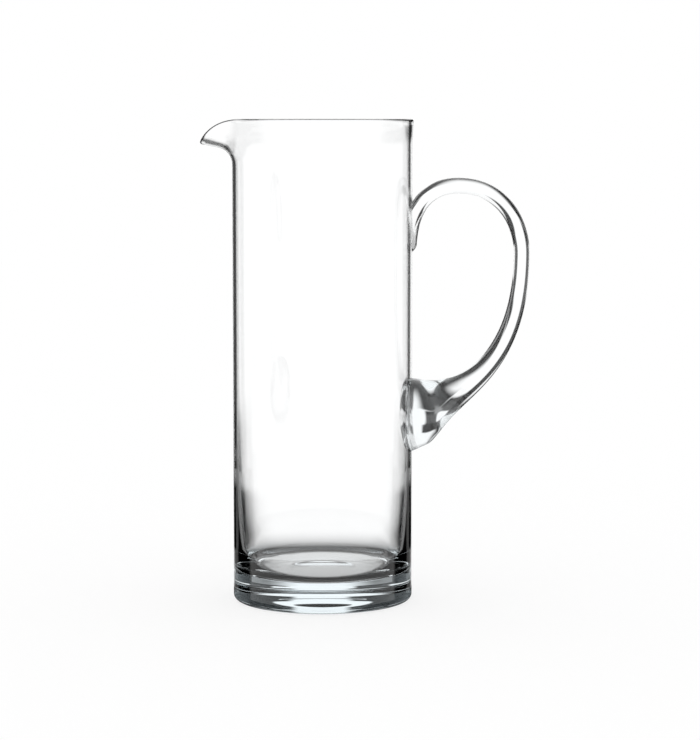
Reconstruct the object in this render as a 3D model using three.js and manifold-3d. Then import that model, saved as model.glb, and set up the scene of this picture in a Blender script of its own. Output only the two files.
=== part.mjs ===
// Clear glass pitcher, made in two pieces of hot glass: a straight blown vessel with a heavy
// base and a pulled lip, and a solid handle laid on the wall at an upper tail and a lower foot.
// Millimetres, +Z up. The handle is towards +X and the lip towards -X. The origin lies on the
// table, under the middle of the whole outline.
import * as THREE from 'three';
import { mergeVertices } from 'three/addons/utils/BufferGeometryUtils.js';
import Module from 'manifold-3d';

// Vessel
const HEIGHT = 260; // table to rim
const BODY_RADIUS = 48.5; // outside of the straight wall
const WALL = 2; // glass thickness of the upper wall
const FLOOR = 14.9; // glass under the flat inside floor
const HEEL_WALL = 7.1; // wall thickness carried down to floor level
const HEEL_FADE = 22.5; // height over which the extra thickness falls to a third
const HEEL_FILLET = 13; // height over which the inside wall rounds into the floor
const HEEL_REACH = 8; // how far that rounding reaches over the floor
const BASE_CORNER = 2.8; // rounding of the outside bottom edge
const DIMPLE_RADIUS = 18; // shallow hollow in the middle of the underside
const DIMPLE_DEPTH = 1.5;

// Rim, thickened and opened a little by fire polishing
const RIM_WALL = 3; // thickness of the rounded bead
const RIM_FLARE = 0.6; // how far the rim stands outside the straight wall
const RIM_RUN = 14; // height over which the wall changes to the rim

// Lip: the wall is bent outwards along an arc, most in the middle and less to the sides
const LIP_DROP = 24; // how far below the rim the bend starts
const LIP_BEND = 13; // length of wall taken up by the bend
const LIP_ANGLE = THREE.MathUtils.degToRad(75); // turn from upright in the middle of the lip
const LIP_HALF_WIDTH = 12.7; // along the rim, to where the turn has fallen to a third

// Handle: a strap that leaves the wall in an arch below the rim and sweeps down to its foot
const STRAP_THICKNESS = 8.6; // seen from the side
const STRAP_WIDTH = 11; // across
const CREST_DROP = 31.4; // rim down to the top of the arch
const CREST_OUT = 24.5; // wall out to the top of the arch
const BOW_OUT = 63.2; // wall out to the outermost point
const BOW_DROP = 40.6; // top of the arch down to the outermost point
const TAIL_DROP = 40.1; // top of the arch down to the end of the tail on the wall
const TAIL_SINK = 2; // how far the tail's middle line lies inside the wall's face
const TAIL_NOSE = 5; // length of the rounded end of the tail
const TAIL_BLUNT = 0.4; // share of the strap's section left at the very tip
const TAIL_WIDTH = 8.5; // across, where the rounded end begins

// Lower foot: the drop of glass that the strap swells into at the wall
const FOOT_MIDDLE = 101.9; // height at which the strap's middle line meets the wall
const FOOT_TALL = 38.6; // lower foot at the wall, along its height
const FOOT_WIDE = 37; // lower foot at the wall, across
const FOOT_DEPTH = 17.2; // distance from the wall at which the swelling has halved
const FOOT_SLOPE = THREE.MathUtils.degToRad(24.4); // how steeply the middle line meets the wall
const FIT = 0.3; // clearance between the handle's cut faces and the wall

// How full the handle's curves are, as shares of the span between their ends
const TAIL_FULL_OUT = 0.86;
const TAIL_FULL_UP = 0.42;
const ARCH_FULL_OUT = 0.74;
const ARCH_FULL_UP = 0.4;
const SWEEP_FULL_DOWN = 0.79;
const SWEEP_FULL_IN = 0.33;
const SECTION_POWER = 2.3; // 2 is an ellipse, higher is squarer

// Facets
const ROUND_STEPS = 80; // round the vessel
const CORNER_STEPS = 6; // round the bottom edge, the heel, the dimple and the rim bead
const LIP_STEPS = 9; // up the wall where it bends to the lip
const WALL_STEPS = 9; // up the inside wall below the lip
const TAIL_STEPS = 12; // along each stretch of the handle
const ARCH_STEPS = 12;
const SWEEP_STEPS = 20;
const SECTION_SIDES = 20; // round the handle

const wasm = await Module();
wasm.setup();

// Clear soda-lime glass with a faint cool cast, seen from its side faces
const glass = new THREE.MeshStandardMaterial({
  color: '#dfe9e6',
  roughness: 0.03,
  metalness: 0,
  transparent: true,
  opacity: 0.35,
});

const lipStart = HEIGHT - LIP_DROP;
const rimStart = HEIGHT - RIM_RUN;
const crestHeight = HEIGHT - CREST_DROP;
const bowHeight = crestHeight - BOW_DROP;
const tailEnd = crestHeight - TAIL_DROP;

// 0 below the rim and 1 at the top of it
function rimShare(z) {
  return THREE.MathUtils.smoothstep(z, rimStart, HEIGHT);
}

function outerRadius(z) {
  return BODY_RADIUS + RIM_FLARE * rimShare(z);
}

function wallThickness(z) {
  const heel = (HEEL_WALL - WALL) * Math.exp((FLOOR - z) / HEEL_FADE);
  const rim = (RIM_WALL - WALL) * rimShare(z);
  return WALL + heel + rim;
}

function innerRadius(z) {
  return outerRadius(z) - wallThickness(z);
}

// Evenly spaced values from low to high, both ends included
function spaced(low, high, steps) {
  return Array.from({ length: steps + 1 }, (_, i) => low + ((high - low) * i) / steps);
}

// Points of a circular arc in the profile, as (radius, height)
function arc(centreR, centreZ, radius, from, to) {
  const curve = new THREE.EllipseCurve(centreR, centreZ, radius, radius, from, to, to < from);
  return curve.getPoints(CORNER_STEPS);
}

// Hollow under the base: a shallow cap of a sphere, from the axis out to its edge
function dimpleProfile() {
  const sphere = (DIMPLE_RADIUS ** 2 + DIMPLE_DEPTH ** 2) / (2 * DIMPLE_DEPTH);
  const edge = Math.acos(DIMPLE_RADIUS / sphere);
  return arc(0, DIMPLE_DEPTH - sphere, sphere, Math.PI / 2, edge);
}

// Rounding between the inside wall and the floor, from the wall down
function heelProfile() {
  const top = FLOOR + HEEL_FILLET;
  const corner = new THREE.Vector2(innerRadius(FLOOR), FLOOR);
  const wallEnd = new THREE.Vector2(innerRadius(top), top);
  const floorEnd = new THREE.Vector2(corner.x - HEEL_REACH, FLOOR);
  return new THREE.QuadraticBezierCurve(wallEnd, corner, floorEnd).getPoints(CORNER_STEPS);
}

// Half section of the vessel, from the axis under the base round to the axis on the floor
function vesselProfile() {
  const bead = RIM_WALL / 2;
  const beadHeight = HEIGHT - bead;
  const lipRows = spaced(lipStart, beadHeight, LIP_STEPS);
  const wallRows = spaced(FLOOR + HEEL_FILLET, lipStart, WALL_STEPS).slice(1, -1);
  const beadMiddle = outerRadius(beadHeight) - bead;
  const outside = lipRows.slice(0, -1).map((z) => new THREE.Vector2(outerRadius(z), z));
  const inside = [...wallRows, ...lipRows.slice(0, -1)]
    .reverse()
    .map((z) => new THREE.Vector2(innerRadius(z), z));
  return [
    ...dimpleProfile(),
    ...arc(BODY_RADIUS - BASE_CORNER, BASE_CORNER, BASE_CORNER, -Math.PI / 2, 0),
    ...outside,
    ...arc(beadMiddle, beadHeight, bead, 0, Math.PI),
    ...inside,
    ...heelProfile(),
    new THREE.Vector2(0, FLOOR),
  ];
}

// Bends one point of the wall outwards for the lip, keeping lengths along the wall.
// rise is its height above the start of the bend, out its distance outside the wall's middle.
function bendPoint(rise, out, turn) {
  const bendRadius = LIP_BEND / turn;
  const bent = Math.min(rise / bendRadius, turn);
  const beyond = Math.max(rise - LIP_BEND, 0);
  const arcOut = 2 * bendRadius * Math.sin(bent / 2) ** 2;
  return {
    out: arcOut + out * Math.cos(bent) + beyond * Math.sin(bent),
    rise: (bendRadius - out) * Math.sin(bent) + beyond * Math.cos(bent),
  };
}

function pullLip(geometry) {
  const position = geometry.attributes.position;
  const middle = BODY_RADIUS - RIM_WALL / 2;
  const point = new THREE.Vector3();
  for (let i = 0; i < position.count; i += 1) {
    point.fromBufferAttribute(position, i);
    const fromLip = Math.atan2(point.y, -point.x);
    const share = (fromLip * BODY_RADIUS) / LIP_HALF_WIDTH;
    const turn = LIP_ANGLE * Math.exp(-(share ** 2));
    const rise = point.z - lipStart;
    if (rise > 0 && turn > 0) {
      const radius = Math.hypot(point.x, point.y);
      const bent = bendPoint(rise, radius - middle, turn);
      const grown = (middle + bent.out) / radius;
      position.setXYZ(i, point.x * grown, point.y * grown, lipStart + bent.rise);
    }
  }
}

// A profile turned round the upright axis, with a row of points on the lip's middle line
function turned(profile) {
  return new THREE.LatheGeometry(profile, ROUND_STEPS).rotateX(Math.PI / 2);
}

function makeVessel() {
  const geometry = turned(vesselProfile());
  pullLip(geometry);
  return geometryFrom(solidFrom(bareGeometry(geometry)));
}

// A curve in the plane of the handle, from four (x, z) points
function planeCurve(points) {
  return new THREE.CubicBezierCurve3(...points.map(([x, z]) => new THREE.Vector3(x, 0, z)));
}

// Middle line of the handle: up the wall, over the arch, and down the sweep into the foot
function handleCurves() {
  const wall = BODY_RADIUS;
  const crestX = wall + CREST_OUT;
  const crestZ = crestHeight - STRAP_THICKNESS / 2;
  const bowX = wall + BOW_OUT - STRAP_THICKNESS / 2;
  const tailX = wall - TAIL_SINK;
  const sweepDown = SWEEP_FULL_DOWN * (bowHeight - FOOT_MIDDLE);
  const sweepIn = SWEEP_FULL_IN * (bowX - wall);
  const tail = planeCurve([
    [tailX, tailEnd],
    [tailX, tailEnd + TAIL_FULL_UP * (crestZ - tailEnd)],
    [crestX - TAIL_FULL_OUT * (crestX - tailX), crestZ],
    [crestX, crestZ],
  ]);
  const arch = planeCurve([
    [crestX, crestZ],
    [crestX + ARCH_FULL_OUT * (bowX - crestX), crestZ],
    [bowX, bowHeight + ARCH_FULL_UP * (crestZ - bowHeight)],
    [bowX, bowHeight],
  ]);
  const sweep = planeCurve([
    [bowX, bowHeight],
    [bowX, bowHeight - sweepDown],
    [wall + sweepIn * Math.cos(FOOT_SLOPE), FOOT_MIDDLE + sweepIn * Math.sin(FOOT_SLOPE)],
    [wall, FOOT_MIDDLE],
  ]);
  return { tail, arch, sweep };
}

// Share of the full section at a distance from the tail's tip: a rounded nose
function noseShare(distance) {
  const left = 1 - Math.min(distance / TAIL_NOSE, 1);
  return Math.max(Math.sqrt(1 - left ** 2), TAIL_BLUNT);
}

// Size of the section on the tail, at a distance from its tip
function tailSize(distance, length) {
  const nose = noseShare(distance);
  const width = THREE.MathUtils.lerp(TAIL_WIDTH, STRAP_WIDTH, distance / length);
  return { thickness: STRAP_THICKNESS * nose, width: width * nose };
}

// Swelling towards the foot, 1 at the wall and halved at the foot's depth
function footShare(distance) {
  return 1 / (1 + (distance / FOOT_DEPTH) ** 2);
}

// Size of the section on the sweep, at a distance from the bow, where the swelling starts
function sweepSize(distance, length) {
  const least = footShare(length);
  const swell = (footShare(length - distance) - least) / (1 - least);
  return {
    thickness: THREE.MathUtils.lerp(STRAP_THICKNESS, FOOT_TALL, swell),
    width: THREE.MathUtils.lerp(STRAP_WIDTH, FOOT_WIDE, swell),
  };
}

// Evenly spaced sections along a curve, each with a middle, a direction and two sizes
function sectionsAlong(curve, steps, size) {
  const length = curve.getLength();
  return spaced(0, 1, steps).map((u) => ({
    middle: curve.getPointAt(u),
    direction: curve.getTangentAt(u),
    ...size(u * length, length),
  }));
}

// How far the foot is carried on into the wall, so that the cut takes all of its sloped end
function footSink() {
  const roundness = BODY_RADIUS - Math.sqrt(BODY_RADIUS ** 2 - (FOOT_WIDE / 2) ** 2);
  return (FOOT_TALL / 2) * Math.tan(FOOT_SLOPE) + roundness + WALL;
}

// Sections of the handle from the tail's tip to the foot and on into the wall
function handleSections() {
  const { tail, arch, sweep } = handleCurves();
  const strap = { thickness: STRAP_THICKNESS, width: STRAP_WIDTH };
  const foot = sectionsAlong(sweep, SWEEP_STEPS, sweepSize);
  const atWall = foot[foot.length - 1];
  const inWall = atWall.middle.clone().addScaledVector(atWall.direction, footSink());
  return [
    ...sectionsAlong(tail, TAIL_STEPS, tailSize),
    ...sectionsAlong(arch, ARCH_STEPS, () => strap).slice(1),
    ...foot.slice(1),
    { ...atWall, middle: inWall },
  ];
}

// One rounded section, as points round the middle line
function sectionPoints({ middle, direction, thickness, width }) {
  const across = new THREE.Vector3(0, 1, 0);
  const outwards = new THREE.Vector3().crossVectors(across, direction).normalize();
  const rounded = (value) => Math.sign(value) * Math.abs(value) ** (2 / SECTION_POWER);
  return spaced(0, 2 * Math.PI, SECTION_SIDES)
    .slice(0, -1)
    .map((angle) =>
      middle
        .clone()
        .addScaledVector(outwards, (rounded(Math.cos(angle)) * thickness) / 2)
        .addScaledVector(across, (rounded(Math.sin(angle)) * width) / 2),
    );
}

// Closed skin over a row of sections that have the same number of points
function loftGeometry(sections) {
  const rings = sections.map(sectionPoints);
  const points = rings.flat();
  const sides = SECTION_SIDES;
  const last = (rings.length - 1) * sides;
  const firstMiddle = points.length;
  points.push(sections[0].middle, sections[sections.length - 1].middle);
  const index = [];
  for (let side = 0; side < sides; side += 1) {
    const next = (side + 1) % sides;
    for (let ring = 0; ring < last; ring += sides) {
      const a = ring + side;
      const b = ring + next;
      index.push(a, b, a + sides, b, b + sides, a + sides);
    }
    index.push(firstMiddle, next, side, firstMiddle + 1, last + side, last + next);
  }
  const geometry = new THREE.BufferGeometry().setFromPoints(points);
  geometry.setIndex(index);
  return geometry;
}

// The vessel as the handle meets it: its outside, wider by the fit
function wallCutter() {
  const rows = [0, ...spaced(lipStart, HEIGHT, LIP_STEPS)];
  const outside = rows.map((z) => new THREE.Vector2(outerRadius(z) + FIT, z));
  const profile = [new THREE.Vector2(0, 0), ...outside, new THREE.Vector2(0, HEIGHT)];
  return turned(profile);
}

function makeHandle() {
  const handle = solidFrom(bareGeometry(loftGeometry(handleSections())));
  const cutter = solidFrom(bareGeometry(wallCutter()));
  return geometryFrom(handle.subtract(cutter));
}

// A copy of a geometry with only its positions, and with shared vertices merged
function bareGeometry(geometry) {
  const bare = new THREE.BufferGeometry();
  bare.setAttribute('position', geometry.attributes.position);
  bare.setIndex(geometry.index);
  return mergeVertices(bare);
}

function solidFrom(geometry) {
  const vertProperties = new Float32Array(geometry.attributes.position.array);
  const triVerts = new Uint32Array(geometry.index.array);
  return new wasm.Manifold(new wasm.Mesh({ numProp: 3, vertProperties, triVerts }));
}

function geometryFrom(solid) {
  const { vertProperties, triVerts } = solid.getMesh();
  const geometry = new THREE.BufferGeometry();
  geometry.setAttribute('position', new THREE.BufferAttribute(vertProperties, 3));
  geometry.setIndex(new THREE.BufferAttribute(triVerts, 1));
  geometry.computeVertexNormals();
  return geometry;
}

function namedMesh(name, geometry) {
  const mesh = new THREE.Mesh(geometry, glass);
  mesh.name = name;
  return mesh;
}

const pitcher = new THREE.Group();
pitcher.name = 'glass_pitcher';
pitcher.add(namedMesh('vessel', makeVessel()));
pitcher.add(namedMesh('handle', makeHandle()));

const outline = new THREE.Box3().setFromObject(pitcher);
pitcher.position.x = -outline.getCenter(new THREE.Vector3()).x;

export default pitcher;
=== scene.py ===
"""A clear glass pitcher: a straight blown vessel with a heavy base and a pulled lip, and a solid
handle fused to its wall, standing on a white table in front of a lit field.

Sizes in the classes are millimetres. Meshes are metres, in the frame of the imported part.
"""

import logging
import math
from bisect import bisect_left
from dataclasses import dataclass, field
from itertools import accumulate, pairwise

import bmesh
import bpy
from mathutils import Matrix, Vector
from mathutils.geometry import interpolate_bezier


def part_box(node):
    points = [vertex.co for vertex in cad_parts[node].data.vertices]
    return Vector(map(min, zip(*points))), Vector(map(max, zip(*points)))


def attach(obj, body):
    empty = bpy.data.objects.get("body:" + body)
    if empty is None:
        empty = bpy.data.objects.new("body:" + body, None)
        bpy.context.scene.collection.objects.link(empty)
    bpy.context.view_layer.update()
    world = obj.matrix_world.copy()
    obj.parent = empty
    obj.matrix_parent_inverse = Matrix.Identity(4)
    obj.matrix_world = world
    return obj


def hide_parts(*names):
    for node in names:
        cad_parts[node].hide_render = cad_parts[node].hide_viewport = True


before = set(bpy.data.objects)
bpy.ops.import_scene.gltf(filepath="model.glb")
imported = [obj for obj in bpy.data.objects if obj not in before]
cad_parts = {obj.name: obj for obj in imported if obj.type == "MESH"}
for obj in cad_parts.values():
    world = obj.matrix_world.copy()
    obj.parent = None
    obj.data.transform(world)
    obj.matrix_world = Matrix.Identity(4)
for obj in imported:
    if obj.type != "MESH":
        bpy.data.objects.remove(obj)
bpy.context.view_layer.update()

MM = 0.001
BODY = "root"

log = logging.getLogger("glass_pitcher")


def linear(hex_colour: str) -> tuple[float, float, float, float]:
    """Turns an sRGB colour into the linear values that shaders take.

    Args:
        hex_colour: colour as "#rrggbb".

    Returns:
        Red, green, blue and an alpha of 1.
    """
    shares = [int(hex_colour[i : i + 2], 16) / 255 for i in (1, 3, 5)]
    red, green, blue = (
        share / 12.92 if share <= 0.04045 else ((share + 0.055) / 1.055) ** 2.4 for share in shares
    )
    return red, green, blue, 1.0


def add_node(
    tree: bpy.types.NodeTree,
    kind: str,
    settings: dict[str, object] | None = None,
    inputs: dict[str | int, object] | None = None,
) -> bpy.types.Node:
    """Adds one node, sets its options and fills its sockets.

    Args:
        tree: node tree that takes the node.
        kind: node type, such as "ShaderNodeMath".
        settings: the node's options by attribute name.
        inputs: for each input socket a plain value, or an output socket to link.

    Returns:
        The new node.
    """
    node = tree.nodes.new(kind)
    for name, value in (settings or {}).items():
        setattr(node, name, value)
    for key, value in (inputs or {}).items():
        if isinstance(value, bpy.types.NodeSocket):
            tree.links.new(value, node.inputs[key])
        else:
            node.inputs[key].default_value = value
    return node


def smoothstep(value: float, low: float, high: float) -> float:
    """Gives 0 below low, 1 above high, and a soft rise between them."""
    share = min(max((value - low) / (high - low), 0.0), 1.0)
    return share * share * (3 - 2 * share)


def spaced(low: float, high: float, steps: int) -> list[float]:
    """Gives evenly spaced values from low to high, both ends included."""
    return [low + (high - low) * i / steps for i in range(steps + 1)]


def mesh_object(name: str, bm: bmesh.types.BMesh) -> bpy.types.Object:
    """Makes an object at the origin from a bmesh, and frees the bmesh.

    Args:
        name: name of the object and its mesh.
        bm: finished mesh in metres.

    Returns:
        The new object, linked to the scene.
    """
    mesh = bpy.data.meshes.new(name)
    bm.to_mesh(mesh)
    bm.free()
    piece = bpy.data.objects.new(name, mesh)
    bpy.context.scene.collection.objects.link(piece)
    return piece


@dataclass(frozen=True)
class FirePolishedGlass:
    """Soda-lime glass, blown and fire polished: clear, with a faint cool cast where it is thick.

    Its surface was never touched after it melted smooth, so it is glossy with long shallow
    ripples, which make the dark lines at its edges waver a little.
    """

    name: str = "soda_lime_glass_fire_polished"
    surface: str = "#fefefe"
    depth_colour: str = "#8ddef7"
    depth_density: float = 1.8  # per metre of glass
    ior: float = 1.5
    ripple: float = 26.0  # length of a ripple
    ripple_height: float = 0.012
    gloss_roughness: float = 0.0
    smear_roughness: float = 0.012  # where the surface was wiped
    smear: float = 60.0  # length of a wiped patch

    def material(self) -> bpy.types.Material:
        """Builds the node material.

        Returns:
            The glass, on Object coordinates.
        """
        material = bpy.data.materials.new(self.name)
        material.use_nodes = True
        tree = material.node_tree
        tree.nodes.clear()
        place = add_node(tree, "ShaderNodeTexCoord").outputs["Object"]
        ripples = add_node(
            tree,
            "ShaderNodeTexNoise",
            inputs={"Vector": place, "Scale": 1 / (self.ripple * MM), "Detail": 1.0},
        )
        bump = add_node(
            tree,
            "ShaderNodeBump",
            inputs={
                "Height": ripples.outputs["Fac"],
                "Strength": 1.0,
                "Distance": self.ripple_height * MM,
            },
        )
        smears = add_node(
            tree,
            "ShaderNodeTexNoise",
            inputs={"Vector": place, "Scale": 1 / (self.smear * MM), "Detail": 3.0},
        )
        roughness = add_node(
            tree,
            "ShaderNodeMapRange",
            inputs={
                "Value": smears.outputs["Fac"],
                "From Min": 0.45,
                "From Max": 0.75,
                "To Min": self.gloss_roughness,
                "To Max": self.smear_roughness,
            },
        )
        glass = add_node(
            tree,
            "ShaderNodeBsdfPrincipled",
            inputs={
                "Base Color": linear(self.surface),
                "IOR": self.ior,
                "Transmission Weight": 1.0,
                "Roughness": roughness.outputs["Result"],
                "Normal": bump.outputs["Normal"],
            },
        )
        depth = add_node(
            tree,
            "ShaderNodeVolumeAbsorption",
            inputs={"Color": linear(self.depth_colour), "Density": self.depth_density},
        )
        add_node(
            tree,
            "ShaderNodeOutputMaterial",
            inputs={"Surface": glass.outputs["BSDF"], "Volume": depth.outputs["Volume"]},
        )
        return material


@dataclass
class Vessel:
    """Blown vessel: straight wall, heavy base, fire-polished rim and pulled lip, in one skin."""

    height: float = 260.0  # table to rim
    radius: float = 48.5  # outside of the straight wall
    wall: float = 2.0  # glass thickness of the upper wall
    floor: float = 14.9  # glass under the flat inside floor
    heel_wall: float = 7.1  # wall thickness carried down to floor level
    heel_fade: float = 22.5  # height over which the extra thickness falls to a third
    heel_fillet: float = 13.0  # height over which the inside wall rounds into the floor
    heel_reach: float = 8.0  # how far that rounding reaches over the floor
    base_corner: float = 2.8  # rounding of the outside bottom edge
    dimple_radius: float = 18.0  # shallow hollow in the middle of the underside
    dimple_depth: float = 1.5
    dimple_worn: float = 0.3  # rounding of its edge
    dimple_blend: float = 6.0  # how far out that rounding reaches
    rim_wall: float = 2.3  # thickness of the rounded bead
    rim_flare: float = 0.6  # how far the rim stands outside the straight wall
    rim_run: float = 14.0  # height over which the wall changes to the rim
    lip_drop: float = 24.0  # how far below the rim the bend to the lip starts
    lip_bend: float = 13.0  # length of wall taken up by the bend
    lip_angle: float = math.radians(75.0)  # turn from upright in the middle of the lip
    lip_half_width: float = 12.7  # along the rim, to where the turn has fallen to a third
    round_steps: int = 256
    arc_steps: int = 12
    row_height: float = 2.0  # between rows of points up the wall

    @property
    def lip_start(self) -> float:
        """Height at which the wall starts to bend out to the lip."""
        return self.height - self.lip_drop

    @property
    def bead_height(self) -> float:
        """Height of the middle of the rim's bead."""
        return self.height - self.rim_wall / 2

    @property
    def axis(self) -> float:
        """X of the upright axis in metres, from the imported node's far side."""
        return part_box("vessel")[1][0] - self.outer(self.bead_height) * MM

    def rim_share(self, z: float) -> float:
        """Gives 0 below the rim and 1 at the top of it."""
        return smoothstep(z, self.height - self.rim_run, self.height)

    def outer(self, z: float) -> float:
        """Gives the outside radius at a height."""
        return self.radius + self.rim_flare * self.rim_share(z)

    def inner(self, z: float) -> float:
        """Gives the inside radius at a height, which shrinks towards the heavy heel."""
        heel = (self.heel_wall - self.wall) * math.exp((self.floor - z) / self.heel_fade)
        rim = (self.rim_wall - self.wall) * self.rim_share(z)
        return self.outer(z) - self.wall - heel - rim

    def arc(self, middle: tuple[float, float], radius: float, start: float, end: float) -> list[tuple]:
        """Gives points of a circular arc in the half section.

        Args:
            middle: radius and height of the arc's centre.
            radius: radius of the arc.
            start: first angle, from the outward direction.
            end: last angle.

        Returns:
            Points as radius and height.
        """
        return [
            (middle[0] + radius * math.cos(turn), middle[1] + radius * math.sin(turn))
            for turn in spaced(start, end, self.arc_steps)
        ]

    def underside(self) -> list[tuple]:
        """Gives the ground hollow, the flat ring and the rounded bottom edge, from the axis out."""
        hollow = []
        for radius in spaced(0.0, self.dimple_radius + self.dimple_blend, 4 * self.arc_steps):
            cap = self.dimple_depth * (1 - (radius / self.dimple_radius) ** 2)
            hollow.append((radius, (cap + math.hypot(cap, self.dimple_worn)) / 2))
        corner_middle = (self.radius - self.base_corner, self.base_corner)
        corner = self.arc(corner_middle, self.base_corner, -math.pi / 2, 0.0)
        ring = [(self.dimple_radius + self.dimple_blend + 0.5, 0.0), (corner_middle[0] - 0.5, 0.0)]
        return hollow + ring + corner

    def heel(self) -> list[tuple]:
        """Gives the rounding from the inside wall down to the flat floor."""
        top = self.floor + self.heel_fillet
        corner = Vector((self.inner(self.floor), self.floor))
        wall_end = Vector((self.inner(top), top))
        floor_end = corner - Vector((self.heel_reach, 0.0))
        pull = 2 / 3
        curve = interpolate_bezier(
            wall_end,
            wall_end.lerp(corner, pull),
            floor_end.lerp(corner, pull),
            floor_end,
            self.arc_steps + 1,
        )
        return [tuple(point) for point in curve]

    def half_section(self) -> list[tuple]:
        """Gives the outline from the axis under the base round to the axis on the floor."""
        low = self.base_corner
        fillet_top = self.floor + self.heel_fillet
        outside = spaced(low, self.bead_height, round((self.bead_height - low) / self.row_height))
        rows = round((self.bead_height - fillet_top) / self.row_height)
        inside = spaced(self.bead_height, fillet_top, rows)
        bead = self.rim_wall / 2
        bead_middle = (self.outer(self.bead_height) - bead, self.bead_height)
        heel = self.heel()
        return [
            *self.underside(),
            *((self.outer(z), z) for z in outside[1:-1]),
            *self.arc(bead_middle, bead, 0.0, math.pi),
            *((self.inner(z), z) for z in inside[1:-1]),
            *heel,
            (heel[-1][0] - 1.0, self.floor),
            (0.0, self.floor),
        ]

    def pulled(self, point: Vector) -> Vector:
        """Moves one point of the wall for the lip, keeping lengths along the wall.

        Args:
            point: place from the axis, in millimetres.

        Returns:
            Its place once the lip is pulled.
        """
        rise = point.z - self.lip_start
        from_lip = math.atan2(point.y, -point.x)
        share = from_lip * self.radius / self.lip_half_width
        turn = self.lip_angle * math.exp(-(share**2))
        if rise <= 0 or turn < 1e-9:
            return point
        radius = math.hypot(point.x, point.y)
        middle = self.radius - self.rim_wall / 2
        out = radius - middle
        bend_radius = self.lip_bend / turn
        bent = min(rise / bend_radius, turn)
        beyond = max(rise - self.lip_bend, 0.0)
        swung = 2 * bend_radius * math.sin(bent / 2) ** 2
        moved_out = swung + out * math.cos(bent) + beyond * math.sin(bent)
        moved_up = (bend_radius - out) * math.sin(bent) + beyond * math.cos(bent)
        grown = (middle + moved_out) / radius
        return Vector((point.x * grown, point.y * grown, self.lip_start + moved_up))

    def build(self, glass: bpy.types.Material) -> bpy.types.Object:
        """Turns the half section, pulls the lip and dresses the vessel.

        Args:
            glass: material of the whole skin.

        Returns:
            The finished piece, riding on its body.
        """
        bm = bmesh.new()
        outline = [bm.verts.new((radius, 0.0, z)) for radius, z in self.half_section()]
        for start, end in pairwise(outline):
            bm.edges.new((start, end))
        bmesh.ops.spin(
            bm,
            geom=[*bm.verts, *bm.edges],
            cent=(0.0, 0.0, 0.0),
            axis=(0.0, 0.0, 1.0),
            dvec=(0.0, 0.0, 0.0),
            angle=2 * math.pi,
            steps=self.round_steps,
            use_merge=True,
        )
        bmesh.ops.remove_doubles(bm, verts=bm.verts, dist=1e-4)
        for vert in bm.verts:
            vert.co = self.pulled(vert.co)
        bmesh.ops.scale(bm, vec=(MM, MM, MM), verts=bm.verts)
        bmesh.ops.translate(bm, vec=(self.axis, 0.0, 0.0), verts=bm.verts)
        bmesh.ops.recalc_face_normals(bm, faces=bm.faces)
        piece = mesh_object("blown_vessel", bm)
        piece.data.shade_smooth()
        piece.data.materials.append(glass)
        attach(piece, BODY)
        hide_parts("vessel")
        return piece


@dataclass(frozen=True)
class Section:
    """One cross section of the handle: its middle, the way it faces and its two sizes."""

    middle: Vector
    direction: Vector
    thickness: float
    width: float


@dataclass
class PlaneCurve:
    """A curve in the plane of the handle, read by the length along it."""

    corners: list[tuple[float, float]]  # two ends and two pulls between them, as x and z
    points: list[Vector] = field(init=False)
    runs: list[float] = field(init=False)

    def __post_init__(self) -> None:
        """Works out points along the curve and their distance from its start."""
        knots = [Vector((x, 0.0, z)) for x, z in self.corners]
        self.points = interpolate_bezier(*knots, 400)
        steps = ((end - start).length for start, end in pairwise(self.points))
        self.runs = [0.0, *accumulate(steps)]

    @property
    def length(self) -> float:
        """Length of the whole curve."""
        return self.runs[-1]

    def at(self, run: float) -> tuple[Vector, Vector]:
        """Reads the curve.

        Args:
            run: distance along the curve from its start.

        Returns:
            The point there and the direction of the curve.
        """
        index = min(max(bisect_left(self.runs, run), 1), len(self.runs) - 1)
        start, end = self.points[index - 1], self.points[index]
        low, high = self.runs[index - 1], self.runs[index]
        before = self.points[max(index - 2, 0)]
        after = self.points[min(index + 1, len(self.points) - 1)]
        share = (run - low) / (high - low)
        direction = (end - before).lerp(after - start, share)
        return start.lerp(end, share), direction.normalized()


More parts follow.
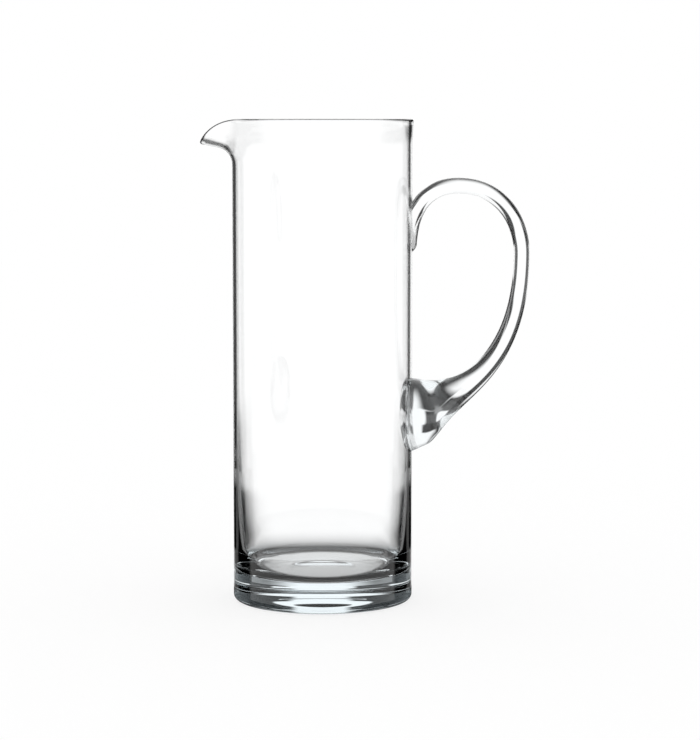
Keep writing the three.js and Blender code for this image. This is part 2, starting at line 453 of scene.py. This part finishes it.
@dataclass
class Handle:
    """Solid drawn handle: a tail on the wall, an arch, a sweep, and a foot spread on the wall."""

    vessel: Vessel
    thickness: float = 8.6  # of the strap, seen from the side
    width: float = 11.0  # across
    crest_drop: float = 31.4  # rim down to the top of the arch
    crest_out: float = 24.5  # wall out to the top of the arch
    bow_out: float = 63.2  # wall out to the outermost point
    bow_drop: float = 40.6  # top of the arch down to the outermost point
    tail_drop: float = 40.1  # top of the arch down to the end of the tail
    tail_sink: float = 2.0  # how far the tail's middle line lies inside the wall's face
    tail_nose: float = 5.0  # length of the rounded end of the tail
    tail_blunt: float = 0.4  # share of the section left at the very tip
    tail_width: float = 8.5  # across, where the rounded end begins
    foot_middle: float = 101.9  # height at which the middle line meets the wall
    foot_tall: float = 38.6  # foot at the wall, along its height
    foot_wide: float = 37.0  # foot at the wall, across
    foot_depth: float = 17.2  # distance from the wall at which the swelling has halved
    foot_slope: float = math.radians(24.4)  # how steeply the middle line meets the wall
    tail_full: tuple[float, float] = (0.86, 0.42)  # fullness of the curves, outwards and upwards
    arch_full: tuple[float, float] = (0.74, 0.4)
    sweep_full: tuple[float, float] = (0.79, 0.33)
    section_power: float = 2.3  # 2 is an ellipse, higher is squarer
    joint_depth: float = 0.4  # how far the fused ends reach into the wall
    section_gap: float = 1.0  # between sections
    sides: int = 64

    def curves(self) -> tuple[PlaneCurve, PlaneCurve, PlaneCurve]:
        """Gives the middle line: up the wall, over the arch, and down the sweep to the foot."""
        wall = self.vessel.radius
        crest_x = wall + self.crest_out
        crest_z = self.vessel.height - self.crest_drop - self.thickness / 2
        bow_x = wall + self.bow_out - self.thickness / 2
        bow_z = self.vessel.height - self.crest_drop - self.bow_drop
        tail_x = wall - self.tail_sink
        tail_z = self.vessel.height - self.crest_drop - self.tail_drop
        foot_z = self.foot_middle
        tail_out, tail_up = self.tail_full
        arch_out, arch_up = self.arch_full
        sweep_down, sweep_in = self.sweep_full
        pull = sweep_in * (bow_x - wall)
        tail = PlaneCurve([
            (tail_x, tail_z),
            (tail_x, tail_z + tail_up * (crest_z - tail_z)),
            (crest_x - tail_out * (crest_x - tail_x), crest_z),
            (crest_x, crest_z),
        ])
        arch = PlaneCurve([
            (crest_x, crest_z),
            (crest_x + arch_out * (bow_x - crest_x), crest_z),
            (bow_x, bow_z + arch_up * (crest_z - bow_z)),
            (bow_x, bow_z),
        ])
        sweep = PlaneCurve([
            (bow_x, bow_z),
            (bow_x, bow_z - sweep_down * (bow_z - foot_z)),
            (wall + pull * math.cos(self.foot_slope), foot_z + pull * math.sin(self.foot_slope)),
            (wall, foot_z),
        ])
        return tail, arch, sweep

    def tail_size(self, run: float, length: float) -> tuple[float, float]:
        """Gives thickness and width on the tail, with a rounded nose at its tip."""
        left = 1 - min(run / self.tail_nose, 1.0)
        nose = max(math.sqrt(1 - left**2), self.tail_blunt)
        width = self.tail_width + (self.width - self.tail_width) * run / length
        return self.thickness * nose, width * nose

    def sweep_size(self, run: float, length: float) -> tuple[float, float]:
        """Gives thickness and width on the sweep, which swells towards the wall."""
        least = 1 / (1 + (length / self.foot_depth) ** 2)
        share = 1 / (1 + ((length - run) / self.foot_depth) ** 2)
        swell = (share - least) / (1 - least)
        thickness = self.thickness + (self.foot_tall - self.thickness) * swell
        width = self.width + (self.foot_wide - self.width) * swell
        return thickness, width

    def sections(self) -> list[Section]:
        """Gives the sections from the tail's tip to the foot, carried on into the wall."""
        tail, arch, sweep = self.curves()
        sizes = (self.tail_size, lambda run, length: (self.thickness, self.width), self.sweep_size)
        found: list[Section] = []
        for curve, size in zip((tail, arch, sweep), sizes):
            runs = spaced(0.0, curve.length, round(curve.length / self.section_gap))
            found += [Section(*curve.at(run), *size(run, curve.length)) for run in runs[bool(found) :]]
        foot = found[-1]
        round_wall = self.vessel.radius - math.sqrt(self.vessel.radius**2 - (self.foot_wide / 2) ** 2)
        sink = self.foot_tall / 2 * math.tan(self.foot_slope) + round_wall + self.vessel.wall
        sunk = Section(foot.middle + foot.direction * sink, foot.direction, foot.thickness, foot.width)
        return [*found, sunk]

    def placed(self, section: Section, out: float, across: float) -> Vector:
        """Places one point of a unit circle on a section.

        Args:
            section: the section.
            out: the circle's share towards the outside of the handle's bend.
            across: the circle's share across the handle.

        Returns:
            The point in millimetres from the vessel's axis.
        """
        power = 2 / self.section_power
        across_way = Vector((0.0, 1.0, 0.0))
        out_way = across_way.cross(section.direction)
        out_share = math.copysign(abs(out) ** power, out)
        across_share = math.copysign(abs(across) ** power, across)
        return (
            section.middle
            + out_way * out_share * section.thickness / 2
            + across_way * across_share * section.width / 2
        )

    def strap(self) -> bmesh.types.BMesh:
        """Makes a straight rod and bends it onto the sections."""
        sections = self.sections()
        steps = len(sections) - 1
        bm = bmesh.new()
        bmesh.ops.create_cone(
            bm, cap_ends=True, cap_tris=False, segments=self.sides, radius1=1.0, radius2=1.0, depth=1.0
        )
        lengthwise = [edge for edge in bm.edges if edge.verts[0].co.z * edge.verts[1].co.z < 0]
        bmesh.ops.subdivide_edges(bm, edges=lengthwise, cuts=steps - 1)
        for vert in bm.verts:
            out, across, along = vert.co
            vert.co = self.placed(sections[round((along + 0.5) * steps)], out, across)
        return bm

    def wall_cutter(self) -> bpy.types.Object:
        """Makes the part of the vessel's round that the fused ends stop at."""
        bm = bmesh.new()
        reach = self.vessel.radius - self.joint_depth
        bmesh.ops.create_cone(
            bm,
            cap_ends=True,
            segments=self.vessel.round_steps,
            radius1=reach,
            radius2=reach,
            depth=self.vessel.lip_start - self.vessel.floor,
            matrix=Matrix.Translation((0.0, 0.0, (self.vessel.lip_start + self.vessel.floor) / 2)),
        )
        return self.in_place("wall_cutter", bm)

    def in_place(self, name: str, bm: bmesh.types.BMesh) -> bpy.types.Object:
        """Scales a mesh to metres, moves it to the vessel's axis and makes an object of it."""
        bmesh.ops.scale(bm, vec=(MM, MM, MM), verts=bm.verts)
        bmesh.ops.translate(bm, vec=(self.vessel.axis, 0.0, 0.0), verts=bm.verts)
        bmesh.ops.recalc_face_normals(bm, faces=bm.faces)
        return mesh_object(name, bm)

    def build(self, glass: bpy.types.Material) -> bpy.types.Object:
        """Bends the strap, cuts its ends to the wall and dresses the handle.

        Args:
            glass: material of the handle.

        Returns:
            The finished piece, riding on its body.
        """
        piece = self.in_place("drawn_handle", self.strap())
        cutter = self.wall_cutter()
        cut = piece.modifiers.new("ends", "BOOLEAN")
        cut.operation = "DIFFERENCE"
        cut.object = cutter
        cut.solver = "EXACT"
        evaluated = piece.evaluated_get(bpy.context.evaluated_depsgraph_get())
        whole = piece.data
        piece.data = bpy.data.meshes.new_from_object(evaluated)
        piece.modifiers.clear()
        bpy.data.meshes.remove(whole)
        bpy.data.objects.remove(cutter)
        piece.data.name = piece.name
        piece.data.shade_smooth()
        piece.data.set_sharp_from_angle(angle=math.radians(35.0))
        piece.data.materials.clear()
        piece.data.materials.append(glass)
        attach(piece, BODY)
        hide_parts("handle")
        return piece


@dataclass
class LightTent:
    """White cloth round the pitcher that only its glass sees, with dark parts behind the pitcher.

    The dark parts are two cards with feet, a wall above them with a gap of light, and painted shade of
    the table at both sides of a painted lit middle. The tent stands still in the room. Angles are
    degrees from +Y, the way that the camera looks, towards +X and upwards.
    """

    radius: float = 8000.0
    left_card: tuple[float, float] = (-36.0, -14.5)
    right_card: tuple[float, float] = (22.5, 41.0)
    card_light: float = 0.06  # thrown back by the cards
    card_soft: float = 2.0  # blur of the cards' edges
    low_cards: tuple[float, float] = (12.0, 17.0)  # to both sides, where the cards' feet begin
    low_back: tuple[float, float] = (60.0, 66.0)  # to both sides, where the feet end
    low_rise: tuple[float, float] = (-8.5, -6.7)  # between the feet and the cards above them
    slit: tuple[float, float] = (31.0, 41.0)  # of light between the feet and the dark room
    slit_light: float = 0.25
    card_foot: tuple[float, float] = (-10.75, -10.9)  # where the painted light of the table's edge begins
    edge_fade: tuple[float, float] = (7.0, 27.0)  # to the side, where that painted light fades
    edge_light: float = 0.22  # to which it fades
    edge_end: tuple[float, float] = (38.0, 40.0)  # and where it ends
    edge_foot: tuple[float, float] = (-11.3, -12.8)  # where the painted light and shade of the rest of the table begins
    table_lit: tuple[float, float] = (4.0, 15.0)  # to the side, where the painted light on the table fades
    table_near: tuple[float, float] = (-42.0, -16.0)  # downwards, where that painted light fades into painted shade under the base
    table_foot: tuple[float, float] = (-40.0, -32.0)  # downwards, where white cloth begins
    table_mid: tuple[float, float] = (28.0, 40.0)  # to the side, from where it begins
    table_side: tuple[float, float] = (70.0, 78.0)  # to the side, where the painted shade of the table ends
    table_back: tuple[float, float] = (80.0, 100.0)  # to the side, where the cards and the wall end
    wall_foot: tuple[float, float] = (1.5, 3.5)  # upwards, where the dark wall behind begins
    wall_lit: tuple[float, float] = (9.0, 14.0)  # to the side, where its gap of light ends
    wall_top: tuple[float, float] = (12.0, 15.0)  # upwards, where the wall ends
    high_lit: tuple[float, float] = (26.0, 43.0)  # to the side, where the light above it ends
    top_light: tuple[float, float] = (42.0, 50.0)  # upwards, where the ceiling begins
    dark: float = 0.004
    level: float = 1.03

    def ramp(
        self, tree: bpy.types.NodeTree, value: bpy.types.NodeSocket, low: float, high: float
    ) -> bpy.types.NodeSocket:
        """Makes a soft step over an angle.

        Args:
            tree: node tree of the cloth.
            value: angle in degrees.
            low: angle at which the step is 0.
            high: angle at which it is 1, which may be the lower of the two.

        Returns:
            The step, from 0 to 1.
        """
        node = add_node(
            tree,
            "ShaderNodeMapRange",
            {"interpolation_type": "SMOOTHSTEP"},
            {"Value": value, "From Min": min(low, high), "From Max": max(low, high)},
        )
        node.inputs["To Min"].default_value = 0.0 if low < high else 1.0
        node.inputs["To Max"].default_value = 1.0 if low < high else 0.0
        return node.outputs["Result"]

    def band(
        self,
        tree: bpy.types.NodeTree,
        value: bpy.types.NodeSocket,
        reach: tuple[float, float],
        soft: float,
    ) -> bpy.types.NodeSocket:
        """Makes a strip with soft edges over an angle.

        Args:
            tree: node tree of the cloth.
            value: angle in degrees.
            reach: the strip's two edges.
            soft: half the blur of each edge.

        Returns:
            1 within the strip and 0 outside it.
        """
        enter = self.ramp(tree, value, reach[0] - soft, reach[0] + soft)
        leave = self.ramp(tree, value, reach[1] + soft, reach[1] - soft)
        return self.combine(tree, "MULTIPLY", enter, leave)

    def combine(
        self, tree: bpy.types.NodeTree, operation: str, *values: bpy.types.NodeSocket | float
    ) -> bpy.types.NodeSocket:
        """Joins values by one operation of a Math node, from the first to the last.

        Args:
            tree: node tree of the cloth.
            operation: the operation, such as "MULTIPLY".
            values: sockets or numbers.

        Returns:
            The result.
        """
        total = values[0]
        for value in values[1:]:
            node = add_node(tree, "ShaderNodeMath", {"operation": operation}, {0: total, 1: value})
            total = node.outputs[0]
        return total

    def cloth(self) -> bpy.types.Material:
        """Builds the glowing cloth with its cards and the painted light and shade of the table."""
        material = bpy.data.materials.new("tent_cloth")
        material.use_nodes = True
        tree = material.node_tree
        tree.nodes.clear()
        place = add_node(tree, "ShaderNodeTexCoord").outputs["Object"]
        way = add_node(tree, "ShaderNodeVectorMath", {"operation": "NORMALIZE"}, {0: place})
        parts = add_node(tree, "ShaderNodeSeparateXYZ", inputs={0: way.outputs[0]}).outputs
        forward = self.combine(tree, "MULTIPLY", parts["Z"], -1.0)
        turn = self.combine(tree, "ARCTAN2", parts["X"], forward)
        side = self.combine(tree, "MULTIPLY", turn, math.degrees(1.0))
        apart = add_node(tree, "ShaderNodeMath", {"operation": "ABSOLUTE"}, {0: side}).outputs[0]
        lift = add_node(tree, "ShaderNodeMath", {"operation": "ARCSINE"}, {0: parts["Y"]}).outputs[0]
        rise = self.combine(tree, "MULTIPLY", lift, math.degrees(1.0))
        soft = self.card_soft
        front = self.ramp(tree, apart, *reversed(self.table_back))
        left = self.band(tree, side, self.left_card, soft)
        right = self.band(tree, side, self.right_card, soft)
        cards = self.combine(tree, "MAXIMUM", left, right)
        slit = self.combine(tree, "MULTIPLY", self.band(tree, apart, self.slit, soft), self.slit_light)
        feet = self.combine(tree, "SUBTRACT", self.ramp(tree, apart, *self.low_cards), slit)
        before = self.ramp(tree, apart, *reversed(self.low_back))
        beside = self.ramp(tree, apart, *reversed(self.table_side))
        below_top = self.ramp(tree, rise, *reversed(self.top_light))
        # the table's edge: painted light straight ahead, fading to painted shade at the sides
        fading = self.ramp(tree, apart, *self.edge_fade)
        fallen = self.combine(tree, "MULTIPLY", fading, 1.0 - self.edge_light)
        edge = self.combine(tree, "MAXIMUM", fallen, self.ramp(tree, apart, *self.edge_end))
        # the rest of the table: painted light straight ahead, fading into painted shade under the
        # base, and painted shade to both sides
        lit = self.combine(
            tree,
            "MULTIPLY",
            self.ramp(tree, apart, *reversed(self.table_lit)),
            self.ramp(tree, rise, *self.table_near),
        )
        table = self.combine(tree, "SUBTRACT", 1.0, self.combine(tree, "MAXIMUM", lit, slit))
        above = self.ramp(tree, rise, *self.table_foot)
        near = self.combine(tree, "MAXIMUM", above, self.ramp(tree, apart, *reversed(self.table_mid)))
        wall = self.ramp(tree, apart, *self.wall_lit)
        high = self.combine(tree, "MULTIPLY", self.ramp(tree, apart, *self.high_lit), front, below_top)
        shade = self.combine(tree, "MULTIPLY", cards, front, 1.0 - self.card_light)
        for layer, edges in (
            (self.combine(tree, "MULTIPLY", feet, before), tuple(reversed(self.low_rise))),
            (self.combine(tree, "MULTIPLY", wall, front), self.wall_foot),
            (high, self.wall_top),
            (self.combine(tree, "MULTIPLY", edge, beside), self.card_foot),
            (self.combine(tree, "MULTIPLY", table, beside, near), self.edge_foot),
        ):
            reach = self.ramp(tree, rise, *edges)
            mix = add_node(tree, "ShaderNodeMix", inputs={"Factor": reach, "A": shade, "B": layer})
            shade = mix.outputs["Result"]
        light = self.combine(tree, "MAXIMUM", self.combine(tree, "SUBTRACT", 1.0, shade), self.dark)
        level = self.combine(tree, "MULTIPLY", light, self.level)
        glow = add_node(tree, "ShaderNodeEmission", inputs={"Strength": level})
        add_node(tree, "ShaderNodeOutputMaterial", inputs={"Surface": glow.outputs["Emission"]})
        return material

    def build(self, middle: Vector) -> bpy.types.Object:
        """Puts the tent round the pitcher, where it stays.

        Args:
            middle: the tent's middle, in millimetres.

        Returns:
            The tent.
        """
        bm = bmesh.new()
        bmesh.ops.create_icosphere(bm, subdivisions=5, radius=self.radius * MM)
        tent = mesh_object("light_tent", bm)
        tent.location = middle * MM
        tent.rotation_euler = (math.pi / 2, 0.0, 0.0)
        tent.visible_camera = False
        tent.visible_diffuse = False
        tent.visible_shadow = False
        tent.data.materials.append(self.cloth())
        return tent


@dataclass
class Studio:
    """White table in even white light, a camera level with the rim, and the light tent."""

    eye_height: float = 260.0  # level with the rim
    eye_distance: float = 1300.0
    look_height: float = 124.8  # of the picture's middle, on the vessel's axis
    look_x: float = -8.4
    lens: float = 117.43
    table_size: float = 6000.0
    table_gap: float = 0.2  # below the flat ring
    table_colour: str = "#909090"
    patch_radius: float = 64.0  # of the painted shadow of the table under and round the base
    patch_light: float = 0.45  # painted light in its middle, standing for light that comes down through the floor
    patch_back: float = 10.0  # behind the axis, where the painted light under the base is centred
    patch_fade: tuple[float, float] = (34.0, 40.0)  # from there, where painted shade stands for the heel keeping light off
    tent: LightTent = field(default_factory=LightTent)

    @property
    def tip(self) -> float:
        """How far the camera looks down."""
        return math.atan((self.eye_height - self.look_height) / self.eye_distance)

    def camera(self) -> None:
        """Sets the camera level with the rim, tipped down to the middle of the picture."""
        data = bpy.data.cameras.new("camera")
        data.lens = self.lens
        camera = bpy.data.objects.new("camera", data)
        camera.location = Vector((self.look_x, -self.eye_distance, self.eye_height)) * MM
        camera.rotation_euler = (math.pi / 2 - self.tip, 0.0, 0.0)
        bpy.context.scene.collection.objects.link(camera)
        bpy.context.scene.camera = camera

    def table(self) -> bpy.types.Object:
        """Lays the white table, which takes the pitcher's shadow."""
        bm = bmesh.new()
        bmesh.ops.create_grid(
            bm,
            x_segments=1,
            y_segments=1,
            size=self.table_size / 2 * MM,
            matrix=Matrix.Translation((0.0, 0.0, -self.table_gap * MM)),
        )
        table = mesh_object("table", bm)
        table.visible_glossy = False
        table.visible_transmission = False
        material = bpy.data.materials.new("table_paper")
        material.use_nodes = True
        tree = material.node_tree
        tree.nodes.clear()
        colour = linear(self.table_colour)
        paper = add_node(tree, "ShaderNodeBsdfDiffuse", inputs={"Color": colour})
        glow = add_node(tree, "ShaderNodeEmission", inputs={"Strength": 1 - colour[0]})
        both = add_node(tree, "ShaderNodeAddShader", inputs={0: paper.outputs[0], 1: glow.outputs[0]})
        add_node(tree, "ShaderNodeOutputMaterial", inputs={"Surface": both.outputs[0]})
        table.data.materials.append(material)
        return table

    def patch(self, vessel: Vessel) -> bpy.types.Object:
        """Lays a round of painted shadow on the table under and about the base, with painted light in
        its middle, which only the glass sees.
        """
        bm = bmesh.new()
        moved = Matrix.Translation((vessel.axis, 0.0, -self.table_gap / 2 * MM))
        reach = self.patch_radius * MM
        bmesh.ops.create_circle(bm, cap_ends=True, segments=128, radius=reach, matrix=moved)
        patch = mesh_object("painted_shadow_under_base", bm)
        patch.visible_camera = False
        patch.visible_diffuse = False
        patch.visible_shadow = False
        material = bpy.data.materials.new("table_in_shade")
        material.use_nodes = True
        tree = material.node_tree
        tree.nodes.clear()
        place = add_node(tree, "ShaderNodeTexCoord").outputs["Object"]
        middle = (vessel.axis, self.patch_back * MM, 0.0)
        away = add_node(tree, "ShaderNodeVectorMath", {"operation": "DISTANCE"}, {0: place, 1: middle})
        # painted light in the middle, falling to painted shade under the heel and round the base
        light = add_node(
            tree,
            "ShaderNodeMapRange",
            {"interpolation_type": "SMOOTHSTEP"},
            {
                "Value": away.outputs["Value"],
                "From Min": self.patch_fade[0] * MM,
                "From Max": self.patch_fade[1] * MM,
                "To Min": self.patch_light,
                "To Max": 0.01,
            },
        )
        glow = add_node(tree, "ShaderNodeEmission", inputs={"Strength": light.outputs["Result"]})
        add_node(tree, "ShaderNodeOutputMaterial", inputs={"Surface": glow.outputs["Emission"]})
        patch.data.materials.append(material)
        return patch

    def world(self) -> None:
        """Lights the table evenly and white from all round."""
        world = bpy.data.worlds.new("studio")
        bpy.context.scene.world = world
        world.use_nodes = True
        tree = world.node_tree
        tree.nodes.clear()
        white = (1.0, 1.0, 1.0, 1.0)
        light = add_node(tree, "ShaderNodeBackground", inputs={"Color": white, "Strength": 1.0})
        add_node(tree, "ShaderNodeOutputWorld", inputs={"Surface": light.outputs["Background"]})

    def build(self, vessel: Vessel) -> None:
        """Sets up the camera, the tent, the table and the light.

        Args:
            vessel: what stands on the table.
        """
        self.camera()
        self.tent.build(Vector((self.look_x, 0.0, self.look_height)))
        self.table()
        self.patch(vessel)
        self.world()
        bpy.context.scene.view_settings.view_transform = "Standard"


def main() -> None:
    """Builds the pitcher and its studio."""
    logging.basicConfig(level=logging.INFO, format="%(name)s: %(message)s")
    vessel = Vessel()
    Studio().build(vessel)
    glass = FirePolishedGlass().material()
    handle = Handle(vessel)
    for piece in (vessel.build(glass), handle.build(glass)):
        log.info("%s: %d faces", piece.name, len(piece.data.polygons))


if __name__ == "__main__":
    main()
